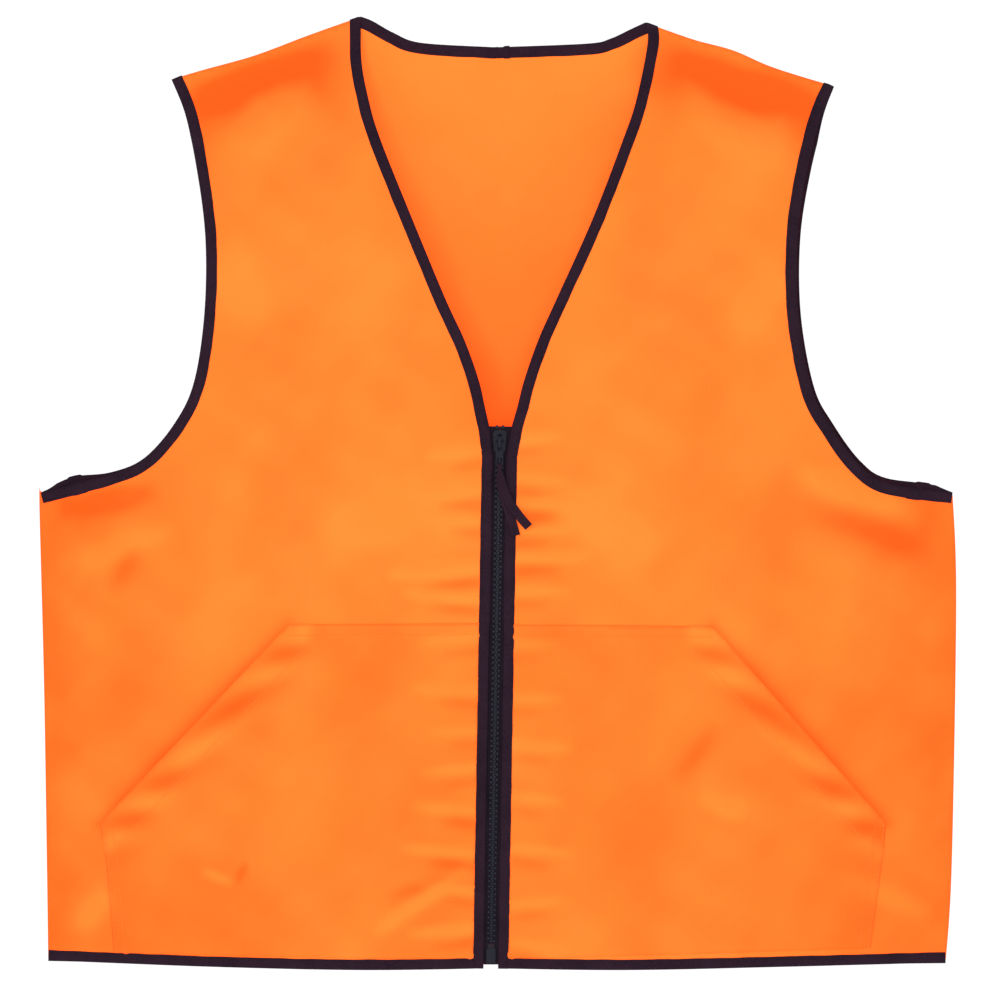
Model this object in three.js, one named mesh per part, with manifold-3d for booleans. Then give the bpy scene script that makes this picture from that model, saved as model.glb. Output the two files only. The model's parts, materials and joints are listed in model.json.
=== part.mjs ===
// Sleeveless high-visibility vest with bound edges, a separating front zip and two slant patch pockets.
// Millimetres, +Z up, front facing -Y. The origin is the point it hangs from: the top edge of the
// binding at the centre of the back neck. "Right" and "left" are the wearer's, so right is -X.

import * as THREE from "three";
import { mergeVertices } from "three/addons/utils/BufferGeometryUtils.js";
import Module from "manifold-3d";

const wasm = await Module();
wasm.setup();

const { cos, sin, PI, abs, max, min } = Math;

// ---------- driving dimensions ----------

const CLEARANCE = 0.3; // between pieces that touch in the real garment
const FABRIC = 1.2; // panel thickness
const BINDING_WIDTH = 7.2; // of the folded tape on each face
const BINDING_STANDS_OUT = 0.5; // of the fabric, on each face

const FRONT_DEPTH = 38; // how far the filled-out front and back stand from the side-seam plane
const BACK_DEPTH = 28;
const SEAM_X = 300; // beyond this the two layers lie flat against each other
const FLAT_X = 20; // the strip behind the zip is flat this far to each side
const SHOULDER_RISE = 50; // height where the two shoulder slopes would meet over the neck
const SHOULDER_SLOPE = 0.328;
const SHOULDER_FLAT = 4; // seam allowance that lies flat under the shoulder line
const SHOULDER_ROUND = 160; // length over which a layer swings out to its full depth

const ZIP_TOP = new THREE.Vector2(2, -260);
const ZIP_TILT = THREE.MathUtils.degToRad(0.98); // the closed front hangs slightly off plumb
const HALF_GAP = 4.8; // from the chain's centre to each front binding
const NECK_FOOT_Z = -278; // where the neck bindings turn to run beside the zip
const NECK_LEVEL = 7; // the back neck runs level this far to each side of its centre
const HEM_Z = -622.5;

// The edges of each half, outlined from the neck outwards. X is measured from the centre.
const HALVES = {
  right: {
    sign: -1,
    neckTip: [92.5, 20],
    vNeck: [
      [92, -10], [87, -37], [79, -64], [57.4, -118], [35, -172], [22.5, -199],
      [12.8, -226], [8.4, -245], [5.2, -260],
    ],
    backNeck: [[84.4, 16.9], [70, 9], [52, 2.6]],
    shoulder: [[128, 7.4], [164, -6.1], [200, -16.2]],
    shoulderTip: [220, -22.3],
    armhole: [
      [210, -47], [202.5, -83], [196.5, -130], [197, -180], [204, -227], [217, -255],
      [238, -279], [262, -290],
    ],
    underarm: [309, -302.4],
    side: [[309.8, -311], [306.5, -442]],
    hemCorner: [303.8, -619],
    pocketCorner: [140.4, -391],
    pocketMouthEnd: [268.7, -525.8],
    pocketKnee: [264.6, -548.8],
    pocketHem: [259, -612],
  },
  left: {
    sign: 1,
    neckTip: [100.8, 16],
    vNeck: [
      [102.4, 2], [94.5, -37], [85.5, -64], [64.8, -118], [40.5, -172], [28.4, -199],
      [18.9, -226], [14, -245], [9.8, -260],
    ],
    backNeck: [[91.5, 11.8], [77, 5.2], [62, 2]],
    shoulder: [[133, 4.7], [160, -2.7], [187, -14.2]],
    shoulderTip: [228, -27],
    armhole: [
      [218.5, -48.6], [209, -86], [202.5, -130], [203, -182], [212, -231.5], [225, -257],
      [244, -283], [264, -296],
    ],
    underarm: [308.5, -302.4],
    side: [[311, -375], [308, -553]],
    hemCorner: [303.8, -620.5],
    pocketCorner: [145.5, -392],
    pocketMouthEnd: [263.3, -525.8],
    pocketKnee: [261.2, -546.8],
    pocketHem: [252.5, -608],
  },
};

const POCKET_FULLNESS = 9; // how far the filled pocket stands off the front
const POCKET_RAMP = 42; // from a sewn edge to the full height
const POCKET_ZIP_SIDE = 14; // from the centre of the front to the pocket's seam beside the zip
const POCKET_GRID = { width: 280, columns: 14, above: 8, rows: 12 };

// ---------- surfaces of the filled-out garment ----------

function shoulderHeight(x) {
  return SHOULDER_RISE - SHOULDER_SLOPE * abs(x);
}

// 0 on the side seams and shoulder line, 1 over the chest
function fullness(x, z) {
  const across = min(1, max(0, abs(x) - FLAT_X) / (SEAM_X - FLAT_X));
  const below = min(1, max(0, shoulderHeight(x) - SHOULDER_FLAT - z) / SHOULDER_ROUND);
  return cos((PI / 2) * across) * sin((PI / 2) * below);
}

const SKIN = {
  front: { sign: -1, depth: FRONT_DEPTH },
  back: { sign: 1, depth: BACK_DEPTH },
};

// Y of the face at a height above the inside of the fabric
function faceY(skin, x, z, height) {
  return skin.sign * (CLEARANCE / 2 + skin.depth * fullness(x, z) + height);
}

// ---------- solids ----------

// The solid inside a closed mesh, whichever way its faces are wound
function solidInside(geometry) {
  const loose = geometry.index ? geometry.toNonIndexed() : geometry;
  const bare = new THREE.BufferGeometry().setAttribute("position", loose.getAttribute("position"));
  const merged = mergeVertices(bare, 1e-4);
  const made = (triangles) =>
    new wasm.Manifold(
      new wasm.Mesh({
        numProp: 3,
        vertProperties: new Float32Array(merged.attributes.position.array),
        triVerts: new Uint32Array(triangles),
      }),
    );
  const solid = made(merged.index.array);
  return solid.volume() > 0 ? solid : made([...merged.index.array].reverse());
}

// The piece itself, without the slivers of no volume that a cut along a curved edge can leave
function mainBody(solid) {
  return solid.decompose().reduce((best, body) => (body.volume() > best.volume() ? body : best));
}

function geometryOf(solid) {
  const mesh = mainBody(solid).getMesh();
  const geometry = new THREE.BufferGeometry();
  geometry.setAttribute("position", new THREE.BufferAttribute(new Float32Array(mesh.vertProperties), 3));
  geometry.setIndex(new THREE.BufferAttribute(new Uint32Array(mesh.triVerts), 1));
  const flat = geometry.toNonIndexed();
  flat.computeVertexNormals();
  return flat;
}

// An outline in X and Z, extruded from yFront back to yBack
function prism(outline, yFront, yBack) {
  const shape = new THREE.Shape(outline);
  const geometry = new THREE.ExtrudeGeometry(shape, { depth: yBack - yFront, bevelEnabled: false });
  geometry.rotateX(PI / 2);
  geometry.translate(0, yBack, 0);
  return solidInside(geometry);
}

function box(xLow, xHigh, yLow, yHigh, zLow, zHigh) {
  const corners = [[xLow, zLow], [xHigh, zLow], [xHigh, zHigh], [xLow, zHigh]];
  return prism(corners.map(([x, z]) => new THREE.Vector2(x, z)), yLow, yHigh);
}

// A box between two distances from the centre, on the side that the sign gives
function mirroredBox(sign, xInner, xOuter, yLow, yHigh, zLow, zHigh) {
  const ends = [sign * xInner, sign * xOuter];
  return box(min(...ends), max(...ends), yLow, yHigh, zLow, zHigh);
}

function evenly(from, to, steps) {
  return Array.from({ length: steps + 1 }, (_, i) => from + ((to - from) * i) / steps);
}

// The closed solid between two heights of one skin, on the grid of the given X and Z lines
function slab(skin, xLines, zLines, lowAt, highAt) {
  const columns = xLines.length - 1;
  const rows = zLines.length - 1;
  const corner = (i, j, heightAt) => {
    const [x, z] = [xLines[i], zLines[j]];
    return new THREE.Vector3(x, faceY(skin, x, z, heightAt(x, z)), z);
  };
  const low = (i, j) => corner(i, j, lowAt);
  const high = (i, j) => corner(i, j, highAt);
  const quads = [];
  for (let i = 0; i < columns; i++)
    for (let j = 0; j < rows; j++) {
      quads.push([high(i, j), high(i + 1, j), high(i + 1, j + 1), high(i, j + 1)]);
      quads.push([low(i, j), low(i, j + 1), low(i + 1, j + 1), low(i + 1, j)]);
    }
  for (let i = 0; i < columns; i++) {
    quads.push([low(i, 0), low(i + 1, 0), high(i + 1, 0), high(i, 0)]);
    quads.push([low(i + 1, rows), low(i, rows), high(i, rows), high(i + 1, rows)]);
  }
  for (let j = 0; j < rows; j++) {
    quads.push([low(0, j + 1), low(0, j), high(0, j), high(0, j + 1)]);
    quads.push([low(columns, j), low(columns, j + 1), high(columns, j + 1), high(columns, j)]);
  }
  const points = quads.flatMap(([a, b, c, d]) => [a, b, c, a, c, d]);
  return solidInside(new THREE.BufferGeometry().setFromPoints(points));
}

// A closed solid through sections that all have the same number of points
function loft(sections) {
  const triangles = [];
  const count = sections[0].length;
  for (let s = 0; s + 1 < sections.length; s++)
    for (let k = 0; k < count; k++) {
      const next = (k + 1) % count;
      const [a, b] = [sections[s][k], sections[s][next]];
      const [c, d] = [sections[s + 1][next], sections[s + 1][k]];
      triangles.push(a, b, c, a, c, d);
    }
  const [first, last] = [sections[0], sections.at(-1)];
  for (let k = 1; k + 1 < count; k++) {
    triangles.push(first[0], first[k + 1], first[k]);
    triangles.push(last[0], last[k], last[k + 1]);
  }
  return solidInside(new THREE.BufferGeometry().setFromPoints(triangles));
}

// ---------- outlines ----------

function placed(half, points) {
  return points.map(([x, z]) => new THREE.Vector2(half.sign * x, z));
}

function smooth(points, steps) {
  return new THREE.SplineCurve(points).getSpacedPoints(steps);
}

// A point beside the chain: across is measured from its centre, z is a height
function besideZip(across, z) {
  return new THREE.Vector2(ZIP_TOP.x + (z - ZIP_TOP.y) * Math.tan(ZIP_TILT) + across, z);
}

const EDGE_STEPS = { vNeck: 22, backNeck: 10, shoulder: 6, armhole: 26, side: 4 };

function halfEdges(half) {
  const tip = placed(half, [half.neckTip]);
  const zipFoot = besideZip(half.sign * HALF_GAP, HEM_Z);
  const zipHead = besideZip(half.sign * HALF_GAP, NECK_FOOT_Z);
  const shoulderEnd = placed(half, [half.shoulderTip]);
  const underarm = placed(half, [half.underarm]);
  const corner = placed(half, [half.hemCorner]);
  const backCentre = placed(half, [[NECK_LEVEL, 0], [0, 0]]);
  return {
    zip: [zipFoot, zipHead],
    vNeck: smooth([zipHead, ...placed(half, half.vNeck).reverse(), ...tip], EDGE_STEPS.vNeck),
    backNeck: smooth([...tip, ...placed(half, half.backNeck), ...backCentre], EDGE_STEPS.backNeck),
    shoulder: smooth([...tip, ...placed(half, half.shoulder), ...shoulderEnd], EDGE_STEPS.shoulder),
    armhole: smooth([...shoulderEnd, ...placed(half, half.armhole), ...underarm], EDGE_STEPS.armhole),
    side: smooth([...underarm, ...placed(half, half.side), ...corner], EDGE_STEPS.side),
    hem: [...corner, zipFoot],
  };
}

// The strip of the given width along an edge, on the side where the fabric is
function strip(edge, width, towards) {
  const inner = edge.map((point, i) => {
    const before = edge[max(0, i - 1)];
    const after = edge[min(edge.length - 1, i + 1)];
    const along = after.clone().sub(before).normalize();
    return new THREE.Vector2(-along.y, along.x).multiplyScalar(towards * width).add(point);
  });
  return [...edge, ...inner.reverse()];
}

// One outline through the runs, without the points that two runs share
function joined(...runs) {
  const points = runs.flat();
  return points.filter((p, i) => i === 0 || p.distanceTo(points[i - 1]) > 1e-3);
}

// ---------- garment ----------

const REACH = 80; // prisms run past both faces of the filled-out garment
const BEYOND = 700; // past every edge of the garment
const BODY_X = evenly(-320, 320, 32); // lines fall on SEAM_X and FLAT_X
const BODY_Z = [-640, ...evenly(-216, -24, 8), ...evenly(-8, 40, 6)]; // the skins only curve above the chest

const frontPrism = (outline) => prism(outline, -REACH, REACH);

function bodySlab(skin, low, high) {
  return slab(skin, BODY_X, BODY_Z, () => low, () => high);
}

// The bindings, grown by the given distance: 0 for the bindings themselves, and
// CLEARANCE for the room that the panels leave for them
function bindings(edges, grow) {
  const low = -BINDING_STANDS_OUT - grow;
  const high = FABRIC + BINDING_STANDS_OUT + grow;
  const front = bodySlab(SKIN.front, low, high);
  const back = bodySlab(SKIN.back, low, high);
  const area = (edge, towards, outline) =>
    frontPrism(strip(edge, BINDING_WIDTH + grow, towards)).intersect(outline);
  const seamY = CLEARANCE / 2 + high;
  const seam = box(-BEYOND, BEYOND, -seamY, seamY, -BEYOND, BEYOND);
  const centreGap = grow > 0 ? 0 : CLEARANCE / 2; // the two neck bindings meet at the centre back
  const made = {};
  for (const [name, half] of Object.entries(HALVES)) {
    const e = edges[name];
    const inside = -half.sign;
    const ownHalf = mirroredBox(half.sign, centreGap, BEYOND, -REACH, REACH, -BEYOND, BEYOND);
    const frontNeck = area(joined(e.zip, e.vNeck), inside, edges.solid[name]);
    const backNeck = area(e.backNeck, -inside, edges.solid.back).intersect(ownHalf);
    const overShoulder = frontNeck.intersect(backNeck).intersect(seam);
    const frontArmhole = front.intersect(area(e.armhole, inside, edges.solid[name]));
    made[name] = {
      neck: front.intersect(frontNeck).add(back.intersect(backNeck)).add(overShoulder),
      armhole: frontArmhole.add(back.intersect(area(e.armhole, inside, edges.solid.back))),
      hem: front.intersect(area(e.hem, inside, edges.solid[name])),
    };
  }
  const backHem = [edges.right.hem[0], edges.left.hem[0]];
  made.hem = back.intersect(area(backHem, 1, edges.solid.back)).add(made.right.hem).add(made.left.hem);
  return made;
}

function garmentEdges() {
  const right = halfEdges(HALVES.right);
  const left = halfEdges(HALVES.left);
  const frontOutline = (e) => joined(e.zip, e.vNeck, e.shoulder, e.armhole, e.side, e.hem.slice(0, 1));
  const half = (e) => joined([...e.backNeck].reverse(), e.shoulder, e.armhole, e.side);
  const solid = {
    right: frontPrism(frontOutline(right)),
    left: frontPrism(frontOutline(left)),
    back: frontPrism(joined(half(right), half(left).reverse())),
  };
  return { right, left, solid };
}

// Height of the pocket's inside over the front's outside: none along the sewn edges, full inside.
// The slanted mouth is open, so it stands off wherever the sewn edges let it.
function pocketRise(half, x, z) {
  const [kneeX, kneeZ] = half.pocketKnee;
  const [hemX, hemZ] = half.pocketHem;
  const across = abs(x);
  const sideX = kneeX + ((hemX - kneeX) * (z - kneeZ)) / (hemZ - kneeZ);
  const sewn = [
    across - POCKET_ZIP_SIDE,
    half.pocketCorner[1] - z,
    z - HEM_Z - BINDING_WIDTH,
    sideX - across,
  ];
  const ramp = (distance) => {
    const t = min(1, max(0, distance / POCKET_RAMP));
    return t * t * (3 - 2 * t);
  };
  return POCKET_FULLNESS * sewn.reduce((share, distance) => share * ramp(distance), 1);
}

function pocket(half) {
  const innerFace = (x, z) => FABRIC + CLEARANCE + pocketRise(half, x, z);
  const outerFace = (x, z) => innerFace(x, z) + FABRIC;
  const xLines = evenly(0, POCKET_GRID.width, POCKET_GRID.columns).map((x) => half.sign * x);
  xLines.sort((a, b) => a - b);
  const gridTop = half.pocketCorner[1] + POCKET_GRID.above;
  const zLines = evenly(HEM_Z, gridTop, POCKET_GRID.rows);
  const skin = slab(SKIN.front, xLines, zLines, innerFace, outerFace);
  const zipSide = half.sign * (HALF_GAP + BINDING_WIDTH + CLEARANCE);
  const hemTop = HEM_Z + BINDING_WIDTH + CLEARANCE;
  const outline = [
    besideZip(zipSide, hemTop),
    besideZip(zipSide, half.pocketCorner[1] + 1),
    ...placed(half, [half.pocketCorner, half.pocketMouthEnd, half.pocketKnee, half.pocketHem]),
  ];
  return skin.intersect(frontPrism(outline));
}

// ---------- zip, in its own frame: origin at the slider's top end, chain along -Z, front face -Y ----------

const TOOTH = { pitch: 3.5, height: 1.45, taper: 0.1, count: 98, first: -2, root: 2, tip: -1.4 };
const CHAIN = { halfWidth: 2.85, halfThickness: 1.2, top: 0.5, runOut: 0.6 };
const STOP = { inner: 1.2, bottom: 0.9, top: 3.2 };
const TAPE = { inner: 3.4, outer: 14.5, halfThickness: 0.3, top: 2.4, bottom: -358 };
const BOX = { halfWidth: 3.05, halfThickness: 1.9, top: -349, bottom: -359, floor: 2 };
const SOCKET = { halfWidth: 2.35, halfThickness: 1.25 };
const PIN = { inner: 0.25, outer: 2.05, halfThickness: 0.9, overFloor: 0.3, aboveBox: 3 };
const SLIDER = { halfTop: 4.4, halfBottom: 3.8, waist: -6, length: 15, plate: 1, corner: 0.8, shoulder: 1.5 };
const PLATE_INNER = CHAIN.halfThickness + CLEARANCE;
const PLATE_OUTER = PLATE_INNER + SLIDER.plate;
const CROWN = { halfWidth: 1.1, room: 2.6, thickness: 1, topFoot: -3, bottomFoot: -13.2, legFoot: 1.2 };
const PIVOT = { z: -8, standsOff: 1.6, radius: 0.7 };
const PULL = { halfWidth: 2.6, halfThickness: 0.6, waist: 0.3, corner: 0.9, end: -24.6 };
const CROWN_WINDOW = { halfWidth: 1.6, bottom: -14.6 };
const RIBBON_EYE = { halfWidth: 1.7, top: -19, bottom: -23.4 };
const EYE_BAR_Z = (RIBBON_EYE.bottom + PULL.end) / 2;
const PULL_Y = -(PLATE_OUTER + PIVOT.standsOff);

function xz(points) {
  return points.map(([x, z]) => new THREE.Vector2(x, z));
}

// An outline that is the same on both sides, from the points of its right side, top first
function symmetric(points) {
  return xz([...points, ...points.map(([x, z]) => [-x, z]).reverse()]);
}

// One side's teeth on their cord. The other side's stand half a pitch lower, in the gaps.
function chainHalf(sign) {
  const outline = [[CHAIN.halfWidth, CHAIN.top], [TOOTH.root, CHAIN.top]];
  const shift = sign > 0 ? TOOTH.pitch / 2 : 0;
  for (let n = 0; n < TOOTH.count; n++) {
    const top = TOOTH.first - shift - n * TOOTH.pitch;
    const bottom = top - TOOTH.height;
    outline.push([TOOTH.root, top], [TOOTH.tip, top - TOOTH.taper]);
    outline.push([TOOTH.tip, bottom + TOOTH.taper], [TOOTH.root, bottom]);
  }
  const end = TOOTH.first - TOOTH.count * TOOTH.pitch - CHAIN.runOut;
  outline.push([TOOTH.root, end], [CHAIN.halfWidth, end]);
  const points = xz(outline.map(([x, z]) => [sign * x, z]));
  return prism(points, -CHAIN.halfThickness, CHAIN.halfThickness);
}

function zipTape(sign) {
  const { inner, outer, halfThickness, top, bottom } = TAPE;
  return mirroredBox(sign, inner, outer, -halfThickness, halfThickness, bottom, top);
}

function topStop(sign) {
  const { halfWidth, halfThickness } = CHAIN;
  return mirroredBox(sign, STOP.inner, halfWidth, -halfThickness, halfThickness, STOP.bottom, STOP.top);
}

// The box on the lower end of the chain, open at the top to take both pins
function retainerBox() {
  const { halfWidth, halfThickness, top, bottom, floor } = BOX;
  const across = SOCKET.halfWidth;
  const deep = SOCKET.halfThickness;
  const socket = box(-across, across, -deep, deep, bottom + floor, top + 1);
  return box(-halfWidth, halfWidth, -halfThickness, halfThickness, bottom, top).subtract(socket);
}

function endPin(sign) {
  const { inner, outer, halfThickness, overFloor, aboveBox } = PIN;
  const bottom = BOX.bottom + BOX.floor + overFloor;
  return mirroredBox(sign, inner, outer, -halfThickness, halfThickness, bottom, BOX.top + aboveBox);
}

// One plate of the slider with the flanges that close over the tape; facing is -1 at the front
function sliderPlate(facing) {
  const { halfTop, halfBottom, waist, length, corner, shoulder } = SLIDER;
  const outline = symmetric([
    [halfTop - shoulder, 0], [halfTop, -shoulder], [halfTop, waist],
    [halfBottom, corner - length], [halfBottom - corner, -length],
  ]);
  const spanY = (near, far) => [min(facing * near, facing * far), max(facing * near, facing * far)];
  const plate = prism(outline, ...spanY(PLATE_INNER, PLATE_OUTER));
  const channel = CHAIN.halfWidth + CLEARANCE;
  const flanges = prism(outline, ...spanY(TAPE.halfThickness + CLEARANCE, PLATE_OUTER));
  return plate.add(flanges.subtract(box(-channel, channel, -REACH, REACH, -length - 1, 1)));
}

// The bridge over the pull's pivot bar: two feet on the front plate and a flat top
function sliderCrown() {
  const { halfWidth, room, thickness, topFoot, bottomFoot, legFoot } = CROWN;
  const foot = PLATE_OUTER + CLEARANCE;
  const inside = PLATE_OUTER + room;
  const outside = inside + thickness;
  const bevel = thickness / 2;
  const outer = [
    [topFoot, foot], [topFoot - bevel, outside - bevel], [topFoot - 3 * bevel, outside],
    [bottomFoot + 3 * bevel, outside], [bottomFoot + bevel, outside - bevel], [bottomFoot, foot],
  ];
  const inner = [
    [bottomFoot + legFoot, foot], [bottomFoot + legFoot + bevel, inside],
    [topFoot - legFoot - bevel, inside], [topFoot - legFoot, foot],
  ];
  const shape = new THREE.Shape([...outer, ...inner].map(([z, y]) => new THREE.Vector2(z, -y)));
  const geometry = new THREE.ExtrudeGeometry(shape, { depth: 2 * halfWidth, bevelEnabled: false });
  // the shape's X and Y become the part's Z and Y, and the extrusion runs along X
  const turned = new THREE.Matrix4().set(0, 0, 1, -halfWidth, 0, 1, 0, 0, 1, 0, 0, 0, 0, 0, 0, 1);
  return solidInside(geometry.applyMatrix4(turned));
}

// A flat pull with a window that lets it turn over the crown, and an eye for the ribbon
function pullTab() {
  const { halfWidth, halfThickness, waist, corner, end } = PULL;
  const top = PIVOT.z;
  const outline = symmetric([
    [halfWidth, top], [halfWidth, CROWN_WINDOW.bottom], [halfWidth - waist, RIBBON_EYE.top],
    [halfWidth, RIBBON_EYE.top - 5 * waist], [halfWidth, end + corner], [halfWidth - corner, end],
  ]);
  const opening = ({ halfWidth: half, bottom }, height) => box(-half, half, -REACH, 0, bottom, height);
  const bar = new THREE.CylinderGeometry(PIVOT.radius, PIVOT.radius, 2 * halfWidth, 12);
  bar.rotateZ(PI / 2);
  bar.translate(0, PULL_Y, top);
  return prism(outline, PULL_Y - halfThickness, PULL_Y + halfThickness)
    .subtract(opening(CROWN_WINDOW, top + 1))
    .subtract(opening(RIBBON_EYE, RIBBON_EYE.top))
    .add(solidInside(bar));
}

// ---------- ribbon through the pull's eye ----------

const RIBBON = { width: 6, throat: 3, thickness: 0.7, loop: 1.5, opens: 5 };
const LOOP_TURNS = [0, 1, 2, 3, 4].map((k) => (k * PI) / 4);

// A flat band along a route. Its width lies across the route in the XZ plane, and it opens
// from the throat to the full width after the given length.
function band(route, narrowFor) {
  const curve = new THREE.CatmullRomCurve3(route.map((p) => new THREE.Vector3(...p)), false, "centripetal");
  const steps = 3 * route.length;
  const total = curve.getLength();
  const sections = evenly(0, 1, steps).map((share) => {
    const centre = curve.getPointAt(share);
    const along = curve.getTangentAt(share);
    const across = new THREE.Vector3(abs(along.z) < 0.02 ? 1 : -along.z, 0, along.x).normalize();
    if (across.x < 0) across.negate();
    const off = new THREE.Vector3().crossVectors(along, across).normalize();
    const opened = min(1, max(0, (share * total - narrowFor) / RIBBON.opens));
    const w = (RIBBON.throat + (RIBBON.width - RIBBON.throat) * opened) / 2;
    const t = RIBBON.thickness / 2;
    const quarter = [[w, t / 2], [w - t / 2, t]];
    const upper = [...quarter, ...quarter.map(([a, b]) => [-a, b]).reverse()];
    const rim = [...upper, ...upper.map(([a, b]) => [a, -b]).reverse()];
    return rim.map(([a, b]) => centre.clone().addScaledVector(across, a).addScaledVector(off, b));
  });
  return loft(sections);
}

// Points given from the middle of the bar below the ribbon's eye
function fromEyeBar(points) {
  return points.map(([x, y, z]) => [x, PULL_Y + y, EYE_BAR_Z + z]);
}

// Over the eye's lower bar, then down in front and off to the wearer's left
function ribbonFront() {
  const r = RIBBON.loop;
  const loop = LOOP_TURNS.map((turn) => [0, r * cos(turn), r * sin(turn)]);
  const hanging = [
    [0.3, -r - 0.4, -4], [1.8, -r - 1.3, -12], [6.5, -r - 1.8, -23],
    [13.5, -r - 2, -33], [20.5, -r - 2.2, -41],
  ];
  return band(fromEyeBar([...loop, ...hanging]), 8);
}

// From behind the bar, under it and down beside the front strand
function ribbonBack() {
  const r = RIBBON.loop;
  const hanging = [
    [0, r, -CLEARANCE], [0, r - 0.3, -2.6], [0.3, -0.2, -5.5], [1.2, -1.3, -12],
    [4.6, -1.7, -24], [8.6, -1.9, -36], [12, -2, -47],
  ];
  return band(fromEyeBar(hanging), 4);
}

// ---------- materials ----------

function material(name, color, roughness, metalness = 0) {
  return new THREE.MeshStandardMaterial({ name, color, roughness, metalness });
}

const MATERIALS = {
  orange: () => material("blaze_orange_fabric", 0xff7a20, 0.85),
  binding: () => material("navy_binding", 0x2b2036, 0.8),
  tape: () => material("zip_tape", 0x1f1b2c, 0.85),
  plastic: () => material("moulded_plastic", 0x33323f, 0.45),
  slider: () => material("painted_slider", 0x2a2a38, 0.35, 0.6),
};

// ---------- assembly ----------

const vest = new THREE.Group();

function addTo(group, name, solid, look) {
  const mesh = new THREE.Mesh(geometryOf(solid), MATERIALS[look]());
  mesh.name = name;
  group.add(mesh);
}

function addGarment() {
  const edges = garmentEdges();
  const bound = bindings(edges, 0);
  const room = bindings(edges, CLEARANCE);
  const allRoom = room.hem
    .add(room.right.neck).add(room.right.armhole)
    .add(room.left.neck).add(room.left.armhole);
  const backFabric = bodySlab(SKIN.back, 0, FABRIC);
  const frontFabric = bodySlab(SKIN.front, 0, FABRIC);
  addTo(vest, "back_panel", backFabric.intersect(edges.solid.back).subtract(allRoom), "orange");
  for (const [name, half] of Object.entries(HALVES)) {
    addTo(vest, "front_panel_" + name, frontFabric.intersect(edges.solid[name]).subtract(allRoom), "orange");
    addTo(vest, "pocket_" + name, pocket(half), "orange");
    addTo(vest, "neck_binding_" + name, bound[name].neck, "binding");
    addTo(vest, "armhole_binding_" + name, bound[name].armhole, "binding");
  }
  addTo(vest, "hem_binding", bound.hem.subtract(room.right.neck).subtract(room.left.neck), "binding");
}

function addZip() {
  const zip = new THREE.Group();
  const tapeHeight = -BINDING_STANDS_OUT - CLEARANCE - TAPE.halfThickness;
  zip.position.set(ZIP_TOP.x, faceY(SKIN.front, 0, ZIP_TOP.y, tapeHeight), ZIP_TOP.y);
  zip.rotation.y = ZIP_TILT;
  vest.add(zip);
  for (const [name, sign] of [["right", -1], ["left", 1]]) {
    addTo(zip, "zip_tape_" + name, zipTape(sign), "tape");
    addTo(zip, "zip_teeth_" + name, chainHalf(sign), "plastic");
    addTo(zip, "zip_top_stop_" + name, topStop(sign), "plastic");
  }
  addTo(zip, "zip_retainer_box", retainerBox(), "plastic");
  addTo(zip, "zip_box_pin", endPin(-1), "plastic");
  addTo(zip, "zip_insertion_pin", endPin(1), "plastic");
  addTo(zip, "slider_front_plate", sliderPlate(-1), "slider");
  addTo(zip, "slider_back_plate", sliderPlate(1), "slider");
  addTo(zip, "slider_crown", sliderCrown(), "slider");
  addTo(zip, "pull_tab", pullTab(), "slider");
  addTo(zip, "ribbon_front_strand", ribbonFront(), "binding");
  addTo(zip, "ribbon_back_strand", ribbonBack(), "binding");
}

addGarment();
addZip();

export default vest;
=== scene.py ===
"""Blaze orange vest: cloth panels, bound edges, front zip with its ribbon pull, and two patch pockets."""

import bmesh
import bpy
import json
import math
import numpy as np
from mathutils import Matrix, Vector, geometry


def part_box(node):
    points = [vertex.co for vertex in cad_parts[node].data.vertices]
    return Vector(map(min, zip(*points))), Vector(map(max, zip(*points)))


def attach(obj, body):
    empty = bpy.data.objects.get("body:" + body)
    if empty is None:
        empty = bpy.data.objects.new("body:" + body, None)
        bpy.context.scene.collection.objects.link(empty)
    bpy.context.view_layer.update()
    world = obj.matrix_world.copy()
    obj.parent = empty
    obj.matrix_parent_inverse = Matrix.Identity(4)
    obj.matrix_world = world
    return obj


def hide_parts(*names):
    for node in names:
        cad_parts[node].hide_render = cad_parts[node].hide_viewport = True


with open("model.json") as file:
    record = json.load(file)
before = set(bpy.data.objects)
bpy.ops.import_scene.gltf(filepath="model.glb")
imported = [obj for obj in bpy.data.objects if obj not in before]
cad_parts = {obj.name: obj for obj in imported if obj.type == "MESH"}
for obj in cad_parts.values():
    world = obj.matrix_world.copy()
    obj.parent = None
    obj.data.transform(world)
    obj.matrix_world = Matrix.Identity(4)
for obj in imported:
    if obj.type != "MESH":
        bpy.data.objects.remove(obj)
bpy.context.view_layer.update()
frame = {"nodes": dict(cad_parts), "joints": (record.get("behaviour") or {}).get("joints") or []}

MM = 0.001

# ---------- driving dimensions, in metres ----------

FRONT_DEPTH = -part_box("neck_binding_left")[0][1] - 1.85 * MM
BACK_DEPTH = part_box("back_panel")[1][1] - 1.35 * MM
HEM_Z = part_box("neck_binding_left")[0][2]
SEAM_X, FLAT_X = 300 * MM, 20 * MM
SHOULDER_RISE, SHOULDER_SLOPE = 50 * MM, 0.328
SHOULDER_FLAT, SHOULDER_ROUND = 4 * MM, 160 * MM
SKIN_GAP = 0.15 * MM  # half of the gap between the layers at the seams

CLOTH = 0.5 * MM
CLOTH_HEIGHT = 0.6 * MM  # of the cloth's middle over the inside of the CAD panel
BINDING_WIDTH = 7.2 * MM
BINDING_HALF_THICK = 1.0 * MM
HALF_GAP = 4.8 * MM
NECK_FOOT_Z = -278 * MM  # where the neck bindings turn to run beside the zip
NECK_LEVEL = 7 * MM  # the back neck runs level this far to each side of its centre

ZIP_TOP = Vector((2 * MM, -260 * MM))
ZIP_TILT = math.atan2(frame["joints"][0]["axis"][0], frame["joints"][0]["axis"][2])

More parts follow.
